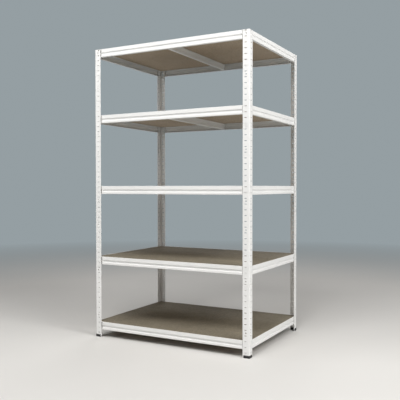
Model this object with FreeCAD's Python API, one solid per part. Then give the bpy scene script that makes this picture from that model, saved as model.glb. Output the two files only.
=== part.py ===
"""Boltless steel shelving: four slotted angle posts, five levels of hook-in beams, deck supports and boards.

Millimetres, +Z up. X runs along the long side and Y from the front (negative) to the back.
The origin is on the floor, at the middle of the footprint. Every piece is one STEP file in parts/.
"""

import FreeCAD
import Part

import math
import os

# ---- driving dimensions ----
WIDTH = 1070.0  # over the outer faces of the posts, along X
DEPTH = 770.0  # over the outer faces of the posts, along Y
HEIGHT = 1826.0  # floor to the top of the posts and of the top level
SLOT_PITCH = 32.0
PITCHES_BELOW_TOP = {"top": 0, "upper": 13, "middle": 27, "lower": 41, "bottom": 54}  # each level's drop

POST_FLANGE = 41.0
POST_SHEET = 2.0
POST_BEND = 1.2  # inside radius

SLOT_WIDTH = 15.0
SLOT_HEIGHT = 4.0
SLOT_FROM_CORNER = 24.0
SLOT_COUNT = 56
FIRST_SLOT_DROP = 37.5  # top of the post to the centre of the first whole slot
OPEN_SLOT_DROP = FIRST_SLOT_DROP - SLOT_PITCH  # the slot above it is open at the post's top end
BOLT_HOLE_RADIUS = 4.0
BOLT_HOLE_FROM_CORNER = 21.0
BOLT_HOLE_STEPS = (-0.5, 6.5, 15.5, 19.5, 28.5, 33.5, 42.5, 51.5)  # pitches below the first slot

BEAM_SHEET = 1.2
BEAM_HEIGHT = 50.0
BEAM_FLANGE = 15.0  # how far the bottom flange reaches inwards
LEDGE_REACH = 17.0
FACE_SETBACK = 0.3  # from a post's outer face to the outer face of the beam between the posts
FACE_START = 46.0  # from a post's outer corner to that face; nearer to the post, the beam steps in behind it
LEDGE_DROP = 8.5  # beam's top edge down to the ledge that carries the board
GROOVE_DEPTH = 5.0
GROOVE_LOW = 13.0  # the groove's lower and upper lip, above the beam's bottom
GROOVE_HIGH = 28.7
GROOVE_SLOPE = 2.5  # height of each sloping wall of the groove
RELIEF_LENGTH = 8.0  # the opening in the web and the folded edge, beside the end of the face
RELIEF_DEPTH = 4.0  # from the web's outer face
RELIEF_MARGIN = 2.6  # height of sheet left above and below that opening
END_PLATE_REACH = 12.0  # how far inwards the plate reaches that closes the end of the face
BEAM_BEND = 1.2
HEM_BEND = 0.3
FIT_GAP = 0.1  # between two pieces of sheet that bear on each other
LONG_BEAM_END = 5.4  # from a post's outer corner to the end of a long beam that is centred in its slots
SHORT_BEAM_END = 11.0  # the same for a short beam
BEAM_SHIFT = 2.4  # hooks have play in the slots: long beams sit this far to the right, short ones forwards
LONG_COPE = 6.0  # how much of the flange and ledge is cut back at each end
SHORT_COPE = 11.2
COPE_STUB = 6.0  # what is left of them there, from the end's outer face

HOOK_WIDTH = 6.0
HOOK_SHEET = 1.2
HOOK_CATCH = 2.0  # how far the hook's lip hangs below the slot's lower edge
HOOK_PLAY = 0.2  # between the lip and the post's outer face
HOOK_BEND = 0.2
WINDOW_HEIGHT = 4.5  # the opening above a hook, that its metal was bent out of
WINDOW_WIDTH = 18.0

SUPPORT_FLANGE = 16.0
SUPPORT_GROOVE_DEPTH = 2.0
SUPPORT_END = 7.0  # from a post's outer front face to the end of a deck support
SUPPORT_NOTCH = 13.2  # the top flange is cut back by this much, to clear the ledge

DECK_THICKNESS = 8.0
DECK_SIDE_GAP = 6.0  # from a post's outer face to the board's edge
DECK_CORNER = 3.0

FOOT_HEIGHT = 15.0
FOOT_FLOOR = 2.0  # plastic under the post's end
FOOT_WALL = 2.0
FOOT_REACH = 35.0  # it stops short of the flange's free edge
FOOT_PAD_WIDTH = 14.0
FOOT_RIB = 2.4
FOOT_EDGE = 1.0

# ---- derived places ----
HALF_WIDTH = WIDTH / 2
HALF_DEPTH = DEPTH / 2
SEAT = POST_SHEET + FIT_GAP  # from a post's outer face to the beam's end that lies against its inside
JOGGLE = SEAT - FACE_SETBACK  # how far the beam's ends step in from its face
FIRST_SLOT_Z = HEIGHT - FIRST_SLOT_DROP
LEVEL_TOP = {name: HEIGHT - steps * SLOT_PITCH for name, steps in PITCHES_BELOW_TOP.items()}
HEM_INSIDE = 2 * (HEM_BEND + BEAM_SHEET)  # from the web's outer face to the folded edge's inner face

X_AXIS = FreeCAD.Vector(1, 0, 0)
Y_AXIS = FreeCAD.Vector(0, 1, 0)
Z_AXIS = FreeCAD.Vector(0, 0, 1)
TOUCHING = 1e-6


def turned(a):
    """A plane vector (in Y and Z) turned a quarter anticlockwise."""
    return FreeCAD.Vector(0, -a.z, a.y)


def strip_face(path, sheet):
    """The YZ cross-section of a strip of sheet, bent along a path of (y, z, inside radius) corners."""
    points = [FreeCAD.Vector(0, y, z) for y, z, _ in path]
    headings = [(b - a).normalize() for a, b in zip(points, points[1:])]
    half = sheet / 2
    sides = []
    for side in (1, -1):
        start = points[0] + turned(headings[0]) * (half * side)
        edges = []
        for i in range(1, len(points) - 1):
            before = headings[i - 1]
            after = headings[i]
            turn = math.atan2(before.cross(after).x, before.dot(after))
            hand = math.copysign(1, turn)
            radius = path[i][2] + half
            reach = radius * math.tan(abs(turn) / 2)
            centre = points[i] - before * reach + turned(before) * (radius * hand)
            own_radius = radius - half * side * hand
            first = centre - turned(before) * (own_radius * hand)
            last = centre - turned(after) * (own_radius * hand)
            middle = centre + (points[i] - centre).normalize() * own_radius
            if (first - start).Length > TOUCHING:
                edges.append(Part.LineSegment(start, first).toShape())
            edges.append(Part.Arc(first, middle, last).toShape())
            start = last
        end = points[-1] + turned(headings[-1]) * (half * side)
        edges.append(Part.LineSegment(start, end).toShape())
        sides.append((edges, points[0] + turned(headings[0]) * (half * side), end))
    (left, left_start, left_end), (right, right_start, right_end) = sides
    caps = [
        Part.LineSegment(left_start, right_start).toShape(),
        Part.LineSegment(left_end, right_end).toShape(),
    ]
    return Part.Face(Part.Wire(Part.__sortEdges__(left + right + caps)))


def bent_bar(path, sheet, length):
    """A straight bar of bent sheet along X, centred on X = 0."""
    face = strip_face(path, sheet)
    face.translate(X_AXIS * (-length / 2))
    return face.extrude(X_AXIS * length)


def box(x0, x1, y0, y1, z0, z1):
    return Part.makeBox(x1 - x0, y1 - y0, z1 - z0, FreeCAD.Vector(x0, y0, z0))


def at_quarter(shape, quarters, place):
    """A copy of the shape, turned about Z by that many quarter turns and then moved to its place."""
    copy = shape.copy()
    copy.rotate(FreeCAD.Vector(0, 0, 0), Z_AXIS, 90 * quarters)
    copy.translate(FreeCAD.Vector(*place))
    return copy


def mirrored(shape):
    """The shape's mirror image with X and Y swapped."""
    return shape.mirror(FreeCAD.Vector(0, 0, 0), FreeCAD.Vector(1, -1, 0))


# ---- posts ----
def slot_tool(z):
    """A level slot with round ends, to cut through the flange that lies along X."""
    radius = SLOT_HEIGHT / 2
    reach = SLOT_WIDTH / 2 - radius
    left = SLOT_FROM_CORNER - reach
    right = SLOT_FROM_CORNER + reach

    def at(x, dz):
        return FreeCAD.Vector(x, -1, z + dz)

    outline = Part.Wire(
        [
            Part.LineSegment(at(left, -radius), at(right, -radius)).toShape(),
            Part.Arc(at(right, -radius), at(right + radius, 0), at(right, radius)).toShape(),
            Part.LineSegment(at(right, radius), at(left, radius)).toShape(),
            Part.Arc(at(left, radius), at(left - radius, 0), at(left, -radius)).toShape(),
        ]
    )
    return Part.Face(outline).extrude(Y_AXIS * (POST_SHEET + 2))


def bolt_hole_tool(z):
    start = FreeCAD.Vector(BOLT_HOLE_FROM_CORNER, -1, z)
    return Part.makeCylinder(BOLT_HOLE_RADIUS, POST_SHEET + 2, start, Y_AXIS)


def open_slot_tool():
    """The notch in the post's top end that takes the upper hook of a top beam."""
    half = SLOT_WIDTH / 2
    low = HEIGHT - OPEN_SLOT_DROP - SLOT_HEIGHT / 2
    return box(SLOT_FROM_CORNER - half, SLOT_FROM_CORNER + half, -1, POST_SHEET + 1, low, HEIGHT + 1)


def make_post():
    """A slotted angle whose outer corner is the Z axis, with flanges along +X and +Y."""
    middle = POST_SHEET / 2
    corner_path = [(POST_FLANGE, middle, 0), (middle, middle, POST_BEND), (middle, POST_FLANGE, 0)]
    angle = strip_face(corner_path, POST_SHEET).extrude(X_AXIS * (HEIGHT - FOOT_FLOOR))
    angle.rotate(FreeCAD.Vector(0, 0, 0), Y_AXIS, -90)
    angle.rotate(FreeCAD.Vector(0, 0, 0), Z_AXIS, -90)
    angle.translate(Z_AXIS * FOOT_FLOOR)
    tools = [slot_tool(FIRST_SLOT_Z - step * SLOT_PITCH) for step in range(SLOT_COUNT)]
    tools += [bolt_hole_tool(FIRST_SLOT_Z - step * SLOT_PITCH) for step in BOLT_HOLE_STEPS]
    tools.append(open_slot_tool())
    tools += [mirrored(tool) for tool in tools]
    return angle.cut(Part.makeCompound(tools))


# ---- beams ----
def beam_path(face, groove_depth):
    """From the bottom flange, up the web whose outer face is Y = face, over the hem and along the ledge."""
    half = BEAM_SHEET / 2
    web = face + half
    hem = web + 2 * (HEM_BEND + half)
    ledge = BEAM_HEIGHT - LEDGE_DROP - half
    path = [(BEAM_FLANGE, half, 0), (web, half, BEAM_BEND)]
    if groove_depth:
        path += groove_corners(web, groove_depth)
    path += [
        (web, BEAM_HEIGHT - half, HEM_BEND),
        (hem, BEAM_HEIGHT - half, HEM_BEND),
        (hem, ledge, BEAM_BEND / 2),
        (LEDGE_REACH, ledge, 0),
    ]
    return path


def groove_corners(web, depth):
    """The corners of the groove that stiffens a web, from its lower lip to its upper one."""
    return [
        (web, GROOVE_LOW, BEAM_BEND),
        (web + depth, GROOVE_LOW + GROOVE_SLOPE, BEAM_BEND),
        (web + depth, GROOVE_HIGH - GROOVE_SLOPE, BEAM_BEND),
        (web, GROOVE_HIGH, BEAM_BEND),
    ]


def span(side, end, length):
    """The lower and upper X of a stretch of the given length, measured inwards from one end of a bar."""
    return sorted((side * end, side * (end - length)))


def hook(x, slot_z):
    """A tongue that goes out through a slot centred at slot_z and hangs over the slot's lower edge."""
    rest = slot_z - SLOT_HEIGHT / 2
    half = HOOK_SHEET / 2
    outside = -(FIT_GAP + POST_SHEET + HOOK_PLAY + half)
    path = [
        (BEAM_SHEET / 2, rest + half, 0),
        (outside, rest + half, HOOK_BEND),
        (outside, rest - HOOK_CATCH, 0),
    ]
    tongue = bent_bar(path, HOOK_SHEET, HOOK_WIDTH)
    tongue.translate(X_AXIS * x)
    return tongue


def hook_window(x, slot_z):
    """The opening above a hook, through the web and, at the upper hook, through the hem behind it."""
    low = slot_z - SLOT_HEIGHT / 2 + HOOK_SHEET
    half = WINDOW_WIDTH / 2
    return box(x - half, x + half, -1, HEM_INSIDE, low, low + WINDOW_HEIGHT)


def end_plate(x0, x1):
    """The plate that closes the end of the beam's face and joins it to the stepped-in end behind the post."""
    ledge = BEAM_HEIGHT - LEDGE_DROP
    low = box(x0, x1, -JOGGLE, END_PLATE_REACH, 0, ledge)
    high = box(x0, x1, -JOGGLE, HEM_INSIDE, ledge, BEAM_HEIGHT)
    plate = low.fuse(high).removeSplitter()
    outer = [e for e in plate.Edges if abs(e.CenterOfMass.y + JOGGLE) < TOUCHING]
    bottom = [e for e in outer if abs(e.CenterOfMass.z) < TOUCHING]
    top = [e for e in outer if abs(e.CenterOfMass.z - BEAM_HEIGHT) < TOUCHING]
    return plate.makeFillet(BEAM_BEND + BEAM_SHEET, bottom).makeFillet(HEM_BEND + BEAM_SHEET / 2, top)


def make_beam(length, end_to_corner, cope):
    """A hook-in beam along X: its ends' outer face is Y = 0, its bottom Z = 0, its inside towards +Y.

    end_to_corner is the distance, along the beam, from its end to the outer corner of its post.
    """
    end = length / 2
    end_length = FACE_START - end_to_corner
    hook_inset = SLOT_FROM_CORNER - end_to_corner
    hole_inset = BOLT_HOLE_FROM_CORNER - end_to_corner
    hook_heights = [BEAM_HEIGHT - OPEN_SLOT_DROP, BEAM_HEIGHT - FIRST_SLOT_DROP]
    hole_height = sum(hook_heights) / 2

    metal = [bent_bar(beam_path(-JOGGLE, GROOVE_DEPTH), BEAM_SHEET, length - 2 * end_length)]
    cuts = []
    hooks = []
    for side in (-1, 1):
        stepped_end = bent_bar(beam_path(0, 0), BEAM_SHEET, end_length)
        stepped_end.translate(X_AXIS * (side * (end - end_length / 2)))
        metal.append(stepped_end)
        metal.append(end_plate(*span(side, end - end_length, BEAM_SHEET)))
        cuts.append(box(*span(side, end, cope), COPE_STUB, LEDGE_REACH + 1, -1, BEAM_HEIGHT + 1))
        relief = span(side, end - end_length + RELIEF_LENGTH, RELIEF_LENGTH)
        cuts.append(box(*relief, -1, RELIEF_DEPTH, RELIEF_MARGIN, BEAM_HEIGHT - RELIEF_MARGIN))
        hole_start = FreeCAD.Vector(side * (end - hole_inset), -1, hole_height)
        cuts.append(Part.makeCylinder(BOLT_HOLE_RADIUS, BEAM_SHEET + 1, hole_start, Y_AXIS))
        for z in hook_heights:
            x = side * (end - hook_inset)
            cuts.append(hook_window(x, z))
            hooks.append(hook(x, z))
    beam = metal[0].fuse(metal[1:]).cut(Part.makeCompound(cuts))
    return beam.fuse(hooks).removeSplitter()


# ---- deck supports and decks ----
def make_deck_support():
    """A channel along X that stands on the long beams' bottom flanges; Z = 0 is the beams' bottom."""
    half = BEAM_SHEET / 2
    low = BEAM_SHEET + half
    high = BEAM_HEIGHT - LEDGE_DROP - half
    path = [
        (SUPPORT_FLANGE, low, 0),
        (half, low, BEAM_BEND),
        *groove_corners(half, SUPPORT_GROOVE_DEPTH),
        (half, high, BEAM_BEND),
        (SUPPORT_FLANGE, high, 0),
    ]
    length = DEPTH - 2 * SUPPORT_END
    bar = bent_bar(path, BEAM_SHEET, length)
    under_ledge = BEAM_HEIGHT - LEDGE_DROP - BEAM_SHEET - FIT_GAP
    notches = []
    for side in (-1, 1):
        end = span(side, length / 2, SUPPORT_NOTCH)
        notches.append(box(*end, -1, SUPPORT_FLANGE + 1, under_ledge, BEAM_HEIGHT))
    return bar.cut(Part.makeCompound(notches))


def make_deck():
    """A board that lies on the ledges, with its underside at Z = 0."""
    length = WIDTH - 2 * DECK_SIDE_GAP
    width = DEPTH - 2 * DECK_SIDE_GAP
    board = box(-length / 2, length / 2, -width / 2, width / 2, 0, DECK_THICKNESS)
    upright = [e for e in board.Edges if abs(e.tangentAt(e.FirstParameter).z) > 0.99]
    return board.makeFillet(DECK_CORNER, upright)


# ---- feet ----
def block_with_corner(start, end, z0, z1, radius):
    """A square block whose upright edge nearest the Z axis is rounded."""
    block = box(start, end, start, end, z0, z1)
    upright = [e for e in block.Edges if abs(e.CenterOfMass.x - start) < TOUCHING]
    corner = [e for e in upright if abs(e.CenterOfMass.y - start) < TOUCHING]
    return block.makeFillet(radius, corner)


def angle_plate(outer, inner, reach, z0, z1, outer_radius, inner_radius):
    """An L-shaped plate round the Z axis, its legs from outer to inner, its corner rounded on both sides."""
    plate = block_with_corner(outer, reach, z0, z1, outer_radius)
    return plate.cut(block_with_corner(inner, reach + outer_radius, z0 - 1, z1 + 1, inner_radius))


def make_foot():
    """A plastic boot that the post's lower end pushes into: an outer and an inner wall on a pad."""
    outer = -(FIT_GAP + FOOT_WALL)
    inner_face = POST_SHEET + FIT_GAP
    room_radius = POST_BEND + POST_SHEET + FIT_GAP
    outside_radius = room_radius + FOOT_WALL
    pad = angle_plate(outer, FOOT_PAD_WIDTH, FOOT_REACH, 0, FOOT_FLOOR, outside_radius, FOOT_EDGE)
    floor_edges = [e for e in pad.Edges if e.BoundBox.ZMax < TOUCHING]
    pad = pad.makeChamfer(FOOT_EDGE, floor_edges)
    rib_start = inner_face + FOOT_WALL
    shell = angle_plate(outer, rib_start, FOOT_REACH, FOOT_FLOOR, FOOT_HEIGHT, outside_radius, FOOT_EDGE)
    room = angle_plate(
        -FIT_GAP, inner_face, FOOT_REACH + 1, FOOT_FLOOR, FOOT_HEIGHT + 1, room_radius, POST_BEND
    )
    foot = pad.fuse(shell.cut(room))
    for along in (FOOT_PAD_WIDTH, FOOT_REACH - FOOT_RIB):
        low_outer = FreeCAD.Vector(along, FOOT_PAD_WIDTH, FOOT_FLOOR)
        low_inner = FreeCAD.Vector(along, rib_start, FOOT_FLOOR)
        high_inner = FreeCAD.Vector(along, rib_start, FOOT_HEIGHT)
        side = Part.Face(Part.makePolygon([low_inner, low_outer, high_inner, low_inner]))
        rib = side.extrude(X_AXIS * FOOT_RIB)
        foot = foot.fuse([rib, mirrored(rib)])
    return foot.removeSplitter()


# ---- assembly ----
def build_pieces():
    """Every piece in its place, as node name to shape."""
    pieces = {}
    corners = {
        "front_left": (0, (-HALF_WIDTH, -HALF_DEPTH, 0)),
        "front_right": (1, (HALF_WIDTH, -HALF_DEPTH, 0)),
        "rear_right": (2, (HALF_WIDTH, HALF_DEPTH, 0)),
        "rear_left": (3, (-HALF_WIDTH, HALF_DEPTH, 0)),
    }
    post = make_post()
    foot = make_foot()
    for name, (quarters, place) in corners.items():
        pieces["post_" + name] = at_quarter(post, quarters, place)
        pieces["foot_" + name] = at_quarter(foot, quarters, place)

    long_beam = make_beam(WIDTH - 2 * LONG_BEAM_END, LONG_BEAM_END, LONG_COPE)
    short_beam = make_beam(DEPTH - 2 * SHORT_BEAM_END, SHORT_BEAM_END, SHORT_COPE)
    support = make_deck_support()
    deck = make_deck()
    for level, top in LEVEL_TOP.items():
        base = top - BEAM_HEIGHT
        pieces["beam_front_" + level] = at_quarter(long_beam, 0, (BEAM_SHIFT, -HALF_DEPTH + SEAT, base))
        pieces["beam_rear_" + level] = at_quarter(long_beam, 2, (BEAM_SHIFT, HALF_DEPTH - SEAT, base))
        pieces["beam_right_" + level] = at_quarter(short_beam, 1, (HALF_WIDTH - SEAT, -BEAM_SHIFT, base))
        pieces["beam_left_" + level] = at_quarter(short_beam, 3, (-HALF_WIDTH + SEAT, -BEAM_SHIFT, base))
        pieces["deck_support_" + level] = at_quarter(support, 1, (SUPPORT_FLANGE / 2, 0, base))
        pieces["deck_" + level] = at_quarter(deck, 0, (0, 0, top - LEDGE_DROP))
    return pieces


def main():
    os.makedirs("parts", exist_ok=True)
    for name, shape in build_pieces().items():
        if not shape.isValid() or shape.Volume <= 0 or not shape.Solids:
            raise RuntimeError(name + " isn't a valid closed solid")
        shape.exportStep(os.path.join("parts", name + ".step"))
        print(name, len(shape.Solids), round(shape.Volume))


main()
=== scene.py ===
"""Boltless steel shelving: materials, floor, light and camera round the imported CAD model.

Metres, +Z up, in the CAD model's frame. The posts, beams, supports, decks and feet are the CAD nodes.
"""

import math

import bmesh
import bpy
from bpy.props import FloatProperty, FloatVectorProperty, PointerProperty
from bpy.types import Operator, Panel, PropertyGroup
from mathutils import Euler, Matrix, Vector

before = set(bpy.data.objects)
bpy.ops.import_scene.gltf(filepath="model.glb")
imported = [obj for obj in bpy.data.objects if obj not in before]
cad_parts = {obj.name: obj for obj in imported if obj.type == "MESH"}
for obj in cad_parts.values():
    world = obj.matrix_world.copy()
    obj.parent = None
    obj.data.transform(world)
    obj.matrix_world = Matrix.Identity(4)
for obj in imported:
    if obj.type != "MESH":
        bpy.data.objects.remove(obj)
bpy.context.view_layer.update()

bl_info = {
    "name": "Boltless steel shelving",
    "version": (1, 0, 0),
    "blender": (4, 5, 0),
    "location": "3D View > Sidebar > Shelving",
    "description": "Finishes, floor, light and camera for a boltless steel shelving unit",
    "category": "Object",
}

# A Mix node's colour sockets, by place, because its socket names repeat.
MIX_FIRST = 6
MIX_SECOND = 7
MIX_RESULT = 2

# Most of a noise's values lie between these two.
NOISE_LOW = 0.3
NOISE_HIGH = 0.7

# Sizes and depths of the finishes' patterns.
COAT_CLOUD_SIZE = 0.35
COAT_SPECK_SIZE = 0.0012
SHEET_WAVE_SIZE = 0.06
SHEET_WAVE_DEPTH = 0.00035
PEEL_DEPTH = 0.00005
PATCH_SIZE = 0.09
PATCH_DEPTH = 0.0002
SPECKLE_SIZE = 0.0085
FLECK_SIZE = 0.0035
FIBRE_DEPTH = 0.0003
FIBRE_STRETCH = 4.5
FIBRE_TURNS = (math.radians(63), math.radians(-28))
FLUFF_SIZE = 0.0014
FLUFF_DEPTH = 0.0005
SCUFF_SIZE = 0.02
GRAIN_SIZE = 0.0007
GRAIN_DEPTH = 0.00006

# The stage: the floor, the colours of the light, and the camera's sensor, which is in millimetres.
FLOOR_HALF_SIDE = 14.0
FLOOR_CLOUD_SIZE = 0.8
FLOOR_ROUGHNESS = 0.6
FADE_START = 2.6
FADE_END = 7.0
LIGHT_COLOUR = (1.0, 0.99, 0.975)
SKY_COLOUR = (0.95, 0.97, 1.0)
SENSOR_WIDTH = 36.0


# ---- settings a user would change ----
class ShelvingFinishSettings(PropertyGroup):
    coat_colour: FloatVectorProperty(
        name="Powder coat",
        description="Colour of the powder coat on posts, beams and deck supports",
        subtype="COLOR",
        size=3,
        min=0.0,
        max=1.0,
        default=(0.84, 0.84, 0.83),
    )
    coat_roughness: FloatProperty(
        name="Coat roughness",
        description="How matt the powder coat is",
        subtype="FACTOR",
        min=0.0,
        max=1.0,
        default=0.42,
    )
    orange_peel: FloatProperty(
        name="Orange peel",
        description="Size of the powder coat's fine waves",
        unit="LENGTH",
        min=0.0005,
        max=0.02,
        default=0.0022,
    )
    board_colour: FloatVectorProperty(
        name="Board",
        description="Colour of the fibreboard's faces",
        subtype="COLOR",
        size=3,
        min=0.0,
        max=1.0,
        default=(0.352, 0.311, 0.232),
    )
    # Painted bounce light: this lighter colour on the board's lower face stands in for light bounced up from
    # the floor.
    painted_bounce_underside_colour: FloatVectorProperty(
        name="Board underside",
        description="Colour of the fibreboard's smoother, lighter lower face",
        subtype="COLOR",
        size=3,
        min=0.0,
        max=1.0,
        default=(0.775, 0.63, 0.467),
    )
    edge_colour: FloatVectorProperty(
        name="Board edge",
        description="Colour of the fibreboard's cut edges",
        subtype="COLOR",
        size=3,
        min=0.0,
        max=1.0,
        default=(0.52, 0.42, 0.30),
    )
    board_fibre: FloatProperty(
        name="Fibre size",
        description="Length of the fibreboard's fibres",
        unit="LENGTH",
        min=0.0005,
        max=0.05,
        default=0.006,
    )
    plastic_colour: FloatVectorProperty(
        name="Foot plastic",
        description="Colour of the moulded feet",
        subtype="COLOR",
        size=3,
        min=0.0,
        max=1.0,
        default=(0.018, 0.018, 0.019),
    )


class ShelvingStageSettings(PropertyGroup):
    floor_colour: FloatVectorProperty(
        name="Floor",
        description="Colour of the plain floor",
        subtype="COLOR",
        size=3,
        min=0.0,
        max=1.0,
        default=(0.70, 0.69, 0.67),
    )
    backdrop_colour: FloatVectorProperty(
        name="Backdrop",
        description="Colour of the plain background",
        subtype="COLOR",
        size=3,
        min=0.0,
        max=1.0,
        default=(0.30, 0.345, 0.365),
    )
    lens: FloatProperty(
        name="Lens",
        description="Focal length of the camera, in millimetres on a 36 mm sensor",
        min=10.0,
        max=300.0,
        default=53.94,
    )
    camera_place: FloatVectorProperty(
        name="Camera",
        description="Where the camera stands",
        subtype="XYZ",
        unit="LENGTH",
        size=3,
        default=(1.8841, -3.4242, 0.9527),
    )
    camera_turn: FloatVectorProperty(
        name="Camera turn",
        description="Tilt, roll and pan of the camera",
        subtype="EULER",
        unit="ROTATION",
        size=3,
        default=(math.radians(88.806), math.radians(0.041), math.radians(28.651)),
    )
    key_power: FloatProperty(
        name="Key light",
        description="Power of the high soft light in front of the shelving, in watts",
        min=0.0,
        default=165.0,
    )
    front_power: FloatProperty(
        name="Front light",
        description="Power of the soft light further in front, in watts",
        min=0.0,
        default=22.0,
    )
    side_power: FloatProperty(
        name="Side light",
        description="Power of the soft light at the right-hand side, in watts",
        min=0.0,
        default=112.0,
    )
    corner_power: FloatProperty(
        name="Corner light",
        description="Power of the high soft light over the nearest corner, in watts",
        min=0.0,
        default=98.0,
    )
    left_power: FloatProperty(
        name="Left light",
        description="Power of the high soft light at the left, in watts",
        min=0.0,
        default=62.0,
    )
    back_power: FloatProperty(
        name="Back light",
        description="Power of the high soft light behind the shelving, in watts",
        min=0.0,
        default=60.0,
    )
    sky_strength: FloatProperty(
        name="Surroundings",
        description="Brightness of the even light from all round",
        min=0.0,
        default=0.02,
    )


# ---- node helpers ----
class Shader:
    """A material's node tree, with short calls to add and join nodes."""

    def __init__(self, name):
        self.material = bpy.data.materials.new(name)
        self.material.use_nodes = True
        self.nodes = self.material.node_tree.nodes
        self.links = self.material.node_tree.links
        self.surface = self.nodes["Principled BSDF"]
        coordinates = self.nodes.new("ShaderNodeTexCoord")
        self.place = coordinates.outputs["Object"]
        self.normal = coordinates.outputs["Normal"]

    def add(self, kind, inputs=None, **settings):
        """Adds a node. Each input is a value for its socket or another node's output to link to it."""
        node = self.nodes.new(kind)
        for key, value in settings.items():
            setattr(node, key, value)
        for key, value in (inputs or {}).items():
            self.feed(node.inputs[key], value)
        return node

    def feed(self, socket, value):
        if isinstance(value, bpy.types.NodeSocket):
            self.links.new(value, socket)
        else:
            socket.default_value = value

    def stretched(self, scale, turn=0.0):
        """The place on the object, scaled by axis and turned about Z."""
        inputs = {"Vector": self.place, "Scale": scale, "Rotation": (0.0, 0.0, turn)}
        return self.add("ShaderNodeMapping", inputs).outputs["Vector"]

    def noise(self, size, detail=3.0, roughness=0.5, place=None):
        """Noise whose largest lumps are about this size, in metres."""
        inputs = {
            "Vector": place or self.place,
            "Scale": 1 / size,
            "Detail": detail,
            "Roughness": roughness,
        }
        return self.add("ShaderNodeTexNoise", inputs).outputs["Fac"]

    def ramp(self, factor, *stops):
        """A colour ramp. Each stop is a position and a grey or an (r, g, b)."""
        node = self.add("ShaderNodeValToRGB", {"Fac": factor})
        elements = node.color_ramp.elements
        while len(elements) < len(stops):
            elements.new(0.5)
        for element, (position, value) in zip(elements, stops):
            element.position = position
            element.color = (*value, 1) if hasattr(value, "__len__") else (value, value, value, 1)
        return node.outputs["Color"]

    def mix(self, factor, first, second, blend="MIX"):
        inputs = {"Factor": factor, MIX_FIRST: first, MIX_SECOND: second}
        return self.add("ShaderNodeMix", inputs, data_type="RGBA", blend_type=blend).outputs[MIX_RESULT]

    def span(self, value, low, high, out_low, out_high):
        inputs = {"Value": value, "From Min": low, "From Max": high, "To Min": out_low, "To Max": out_high}
        return self.add("ShaderNodeMapRange", inputs).outputs["Result"]

    def spread(self, noise, low, high):
        """Spreads a noise's usual values over a range."""
        return self.span(noise, NOISE_LOW, NOISE_HIGH, low, high)

    def darken(self, colour, shade, factor=1.0):
        return self.mix(factor, colour, shade, "MULTIPLY")

    def maths(self, operation, *values):
        return self.add("ShaderNodeMath", dict(enumerate(values)), operation=operation).outputs["Value"]

    def bumps(self, *layers):
        """Bumps, one on another. Each layer is a height and its depth in metres."""
        normal = None
        for height, depth in layers:
            inputs = {"Height": height, "Distance": depth, "Strength": 1.0}
            if normal is not None:
                inputs["Normal"] = normal
            normal = self.add("ShaderNodeBump", inputs).outputs["Normal"]
        self.feed(self.surface.inputs["Normal"], normal)


def rgba(colour, factor=1.0):
    return (*(c * factor for c in colour), 1.0)


# ---- finishes ----
def powder_coat(settings):
    """White powder coat: fine orange peel, faint clouds, sparse specks and slight waves in the sheet."""
    shader = Shader("white_powder_coat")
    white = settings.coat_colour
    roughness = settings.coat_roughness
    clouds = shader.noise(COAT_CLOUD_SIZE, detail=4.0)
    specks = shader.noise(COAT_SPECK_SIZE, detail=1.0)
    clouded = shader.span(clouds, 0.35, 0.65, 0.0, 1.0)
    colour = shader.mix(clouded, rgba(white, 0.975), rgba(white, 1.015))
    speckled = shader.ramp(specks, (0.70, 0.0), (0.80, 0.35))
    colour = shader.mix(speckled, colour, rgba(white, 0.80))
    shader.feed(shader.surface.inputs["Base Color"], colour)
    sheen = shader.spread(clouds, roughness - 0.05, roughness + 0.06)
    shader.feed(shader.surface.inputs["Roughness"], sheen)
    peel = shader.noise(settings.orange_peel, detail=2.0)
    sheet_waves = shader.noise(SHEET_WAVE_SIZE, detail=1.0)
    shader.bumps((sheet_waves, SHEET_WAVE_DEPTH), (peel, PEEL_DEPTH))
    return shader.material


def fibreboard(settings):
    """Hard-pressed fibreboard: matted fibres, speckle, dark flecks, an underside painted lighter as bounce
    light from below, rough pale edges.
    """
    shader = Shader("fibreboard")
    facing = shader.add("ShaderNodeSeparateXYZ", {"Vector": shader.normal}).outputs["Z"]
    # Painted bounce light: faces that point down take the lighter underside colour, in place of light bounced
    # up from the floor.
    painted_bounce_mask = shader.span(facing, -0.4, -0.6, 0.0, 1.0)
    cut_edge = shader.span(shader.maths("ABSOLUTE", facing), 0.6, 0.4, 0.0, 1.0)
    colour = shader.mix(painted_bounce_mask, rgba(settings.board_colour), rgba(settings.painted_bounce_underside_colour))
    colour = shader.mix(cut_edge, colour, rgba(settings.edge_colour))

    fibres = [
        shader.noise(settings.board_fibre, 4.0, 0.6, shader.stretched((1.0, FIBRE_STRETCH, 1.0), turn))
        for turn in FIBRE_TURNS
    ]
    matted = shader.mix(0.5, *fibres)
    patches = shader.noise(PATCH_SIZE, detail=5.0, roughness=0.62)
    speckle = shader.noise(SPECKLE_SIZE, detail=4.0, roughness=0.7)
    flecks = shader.noise(FLECK_SIZE, detail=2.0)
    colour = shader.darken(colour, shader.ramp(matted, (0.33, 0.47), (0.50, 0.72), (0.68, 1.0)))
    colour = shader.darken(colour, rgba((0.86, 0.80, 0.74)), shader.spread(patches, 0.04, 0.34))
    colour = shader.darken(colour, shader.ramp(speckle, (0.36, 0.56), (0.64, 1.0)), 0.8)
    colour = shader.darken(colour, shader.ramp(flecks, (0.64, 1.0), (0.74, 0.40)))
    shader.feed(shader.surface.inputs["Base Color"], colour)
    shader.feed(shader.surface.inputs["Roughness"], shader.spread(patches, 0.62, 0.80))

    fluff = shader.noise(FLUFF_SIZE, 3.0, 0.6, shader.stretched((1.0, 1.0, 2.5)))
    torn = shader.maths("MULTIPLY", fluff, cut_edge)
    shader.bumps((patches, PATCH_DEPTH), (matted, FIBRE_DEPTH), (torn, FLUFF_DEPTH))
    return shader.material


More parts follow.
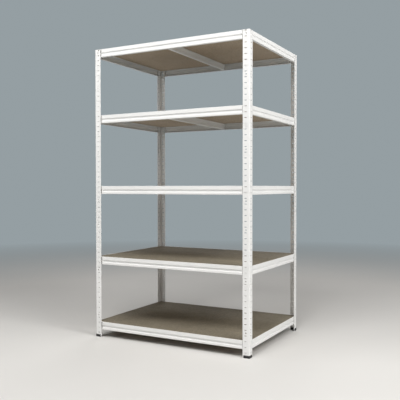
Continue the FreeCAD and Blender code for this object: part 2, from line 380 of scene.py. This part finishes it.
def moulded_plastic(settings):
    """Black moulded plastic with a fine spark-eroded texture."""
    shader = Shader("black_plastic")
    black = settings.plastic_colour
    scuffs = shader.noise(SCUFF_SIZE, detail=5.0, roughness=0.65)
    grain = shader.noise(GRAIN_SIZE, detail=2.0)
    colour = shader.mix(shader.ramp(scuffs, (0.55, 0.0), (0.75, 0.5)), rgba(black), rgba(black, 2.6))
    shader.feed(shader.surface.inputs["Base Color"], colour)
    shader.feed(shader.surface.inputs["Roughness"], shader.spread(scuffs, 0.46, 0.66))
    shader.bumps((grain, GRAIN_DEPTH))
    return shader.material


def finish_nodes(material, *prefixes):
    """Gives a material to every CAD node whose name starts with one of the prefixes."""
    found = [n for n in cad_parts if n.startswith(prefixes)]
    if not found:
        raise RuntimeError("no CAD node starts with " + ", ".join(prefixes))
    for name in found:
        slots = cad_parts[name].data.materials
        slots.clear()
        slots.append(material)


# ---- operators ----
class SHELVING_OT_coat_steel(Operator):
    """Coat the posts, beams and deck supports"""

    bl_idname = "shelving.coat_steel"
    bl_label = "Coat the steel"

    def execute(self, context):
        finish_nodes(powder_coat(context.scene.shelving_finish), "post_", "beam_", "deck_support_")
        return {"FINISHED"}


class SHELVING_OT_face_decks(Operator):
    """Give the decks their fibreboard"""

    bl_idname = "shelving.face_decks"
    bl_label = "Face the decks"

    def execute(self, context):
        board = fibreboard(context.scene.shelving_finish)
        decks = [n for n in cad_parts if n.startswith("deck_") and "support" not in n]
        finish_nodes(board, *decks)
        return {"FINISHED"}


class SHELVING_OT_mould_feet(Operator):
    """Give the feet their black plastic"""

    bl_idname = "shelving.mould_feet"
    bl_label = "Mould the feet"

    def execute(self, context):
        finish_nodes(moulded_plastic(context.scene.shelving_finish), "foot_")
        return {"FINISHED"}


class SHELVING_OT_set_stage(Operator):
    """Make the floor, the lights and the camera"""

    bl_idname = "shelving.set_stage"
    bl_label = "Set the stage"

    def execute(self, context):
        stage = context.scene.shelving_stage
        make_floor(stage)
        make_surroundings(context.scene, stage)
        make_lights(stage)
        make_camera(context.scene, stage)
        return {"FINISHED"}


# ---- stage ----
def link(name, data):
    piece = bpy.data.objects.new(name, data)
    bpy.context.scene.collection.objects.link(piece)
    return piece


def make_floor(stage):
    """A plain pale floor that fades into the backdrop far from the shelving."""
    mesh = bpy.data.meshes.new("floor")
    bm = bmesh.new()
    bmesh.ops.create_grid(bm, x_segments=1, y_segments=1, size=FLOOR_HALF_SIDE)
    bm.to_mesh(mesh)
    bm.free()
    floor = link("floor", mesh)
    shader = Shader("floor")
    pale = stage.floor_colour
    clouds = shader.spread(shader.noise(FLOOR_CLOUD_SIZE, detail=4.0), 0.0, 1.0)
    shader.feed(shader.surface.inputs["Base Color"], shader.mix(clouds, rgba(pale, 0.985), rgba(pale, 1.015)))
    shader.feed(shader.surface.inputs["Roughness"], FLOOR_ROUGHNESS)
    far = shader.add("ShaderNodeVectorMath", {0: shader.place}, operation="LENGTH").outputs["Value"]
    glow = shader.add("ShaderNodeEmission", {"Color": rgba(stage.backdrop_colour)})
    fade = shader.add(
        "ShaderNodeMixShader",
        {
            "Fac": shader.span(far, FADE_START, FADE_END, 0.0, 1.0),
            1: shader.surface.outputs["BSDF"],
            2: glow.outputs["Emission"],
        },
    )
    shader.feed(shader.nodes["Material Output"].inputs["Surface"], fade.outputs["Shader"])
    mesh.materials.append(shader.material)


def make_surroundings(scene, stage):
    """A faint even light from all round, and the plain backdrop that the camera sees in its place."""
    world = bpy.data.worlds.new("surroundings")
    world.use_nodes = True
    scene.world = world
    nodes = world.node_tree.nodes
    links = world.node_tree.links
    light = nodes["Background"]
    light.inputs["Color"].default_value = rgba(SKY_COLOUR)
    light.inputs["Strength"].default_value = stage.sky_strength
    backdrop = nodes.new("ShaderNodeBackground")
    backdrop.inputs["Color"].default_value = rgba(stage.backdrop_colour)
    seen = nodes.new("ShaderNodeLightPath").outputs["Is Camera Ray"]
    choose = nodes.new("ShaderNodeMixShader")
    links.new(seen, choose.inputs["Fac"])
    links.new(light.outputs[0], choose.inputs[1])
    links.new(backdrop.outputs[0], choose.inputs[2])
    links.new(choose.outputs[0], nodes["World Output"].inputs["Surface"])
    scene.view_settings.view_transform = "Standard"


def make_area_light(name, power, place, target, size):
    """A rectangular light at a place, turned towards a target."""
    data = bpy.data.lights.new(name, "AREA")
    data.shape = "RECTANGLE"
    data.size, data.size_y = size
    data.energy = power
    data.color = LIGHT_COLOUR
    light = link(name, data)
    light.location = place
    light.rotation_euler = (Vector(target) - Vector(place)).to_track_quat("-Z", "Y").to_euler()


def make_lights(stage):
    make_area_light("key", stage.key_power, (0.5, -3.2, 5.0), (0.0, 0.0, 1.2), (2.2, 1.8))
    make_area_light("front", stage.front_power, (0.3, -5.0, 3.0), (0.0, 0.0, 1.4), (2.2, 2.2))
    make_area_light("side", stage.side_power, (4.6, -0.6, 2.9), (0.0, 0.0, 1.3), (2.6, 2.6))
    make_area_light("corner", stage.corner_power, (3.4, -1.4, 4.4), (0.0, 0.0, 1.3), (2.0, 2.0))
    make_area_light("left", stage.left_power, (-2.8, -3.0, 3.8), (0.0, 0.0, 1.2), (2.2, 2.2))
    make_area_light("back", stage.back_power, (-1.6, 3.6, 4.8), (0.0, 0.0, 1.0), (2.4, 2.0))


def make_camera(scene, stage):
    data = bpy.data.cameras.new("camera")
    data.sensor_width = SENSOR_WIDTH
    data.lens = stage.lens
    camera = link("camera", data)
    camera.location = stage.camera_place
    camera.rotation_euler = Euler(stage.camera_turn, "XYZ")
    scene.camera = camera


# ---- panel and registration ----
class SHELVING_PT_build(Panel):
    bl_idname = "SHELVING_PT_build"
    bl_label = "Shelving"
    bl_space_type = "VIEW_3D"
    bl_region_type = "UI"
    bl_category = "Shelving"

    def draw(self, context):
        layout = self.layout
        for group in (context.scene.shelving_finish, context.scene.shelving_stage):
            for name in group.__annotations__:
                layout.prop(group, name)
        for operator in OPERATORS:
            layout.operator(operator.bl_idname)


SETTINGS = (ShelvingFinishSettings, ShelvingStageSettings)
OPERATORS = (
    SHELVING_OT_coat_steel,
    SHELVING_OT_face_decks,
    SHELVING_OT_mould_feet,
    SHELVING_OT_set_stage,
)


def register():
    for cls in (*SETTINGS, *OPERATORS, SHELVING_PT_build):
        bpy.utils.register_class(cls)
    bpy.types.Scene.shelving_finish = PointerProperty(type=ShelvingFinishSettings)
    bpy.types.Scene.shelving_stage = PointerProperty(type=ShelvingStageSettings)


def unregister():
    del bpy.types.Scene.shelving_stage
    del bpy.types.Scene.shelving_finish
    for cls in reversed((*SETTINGS, *OPERATORS, SHELVING_PT_build)):
        bpy.utils.unregister_class(cls)


def main():
    register()
    bpy.ops.shelving.coat_steel()
    bpy.ops.shelving.face_decks()
    bpy.ops.shelving.mould_feet()
    bpy.ops.shelving.set_stage()


if __name__ == "__main__":
    main()
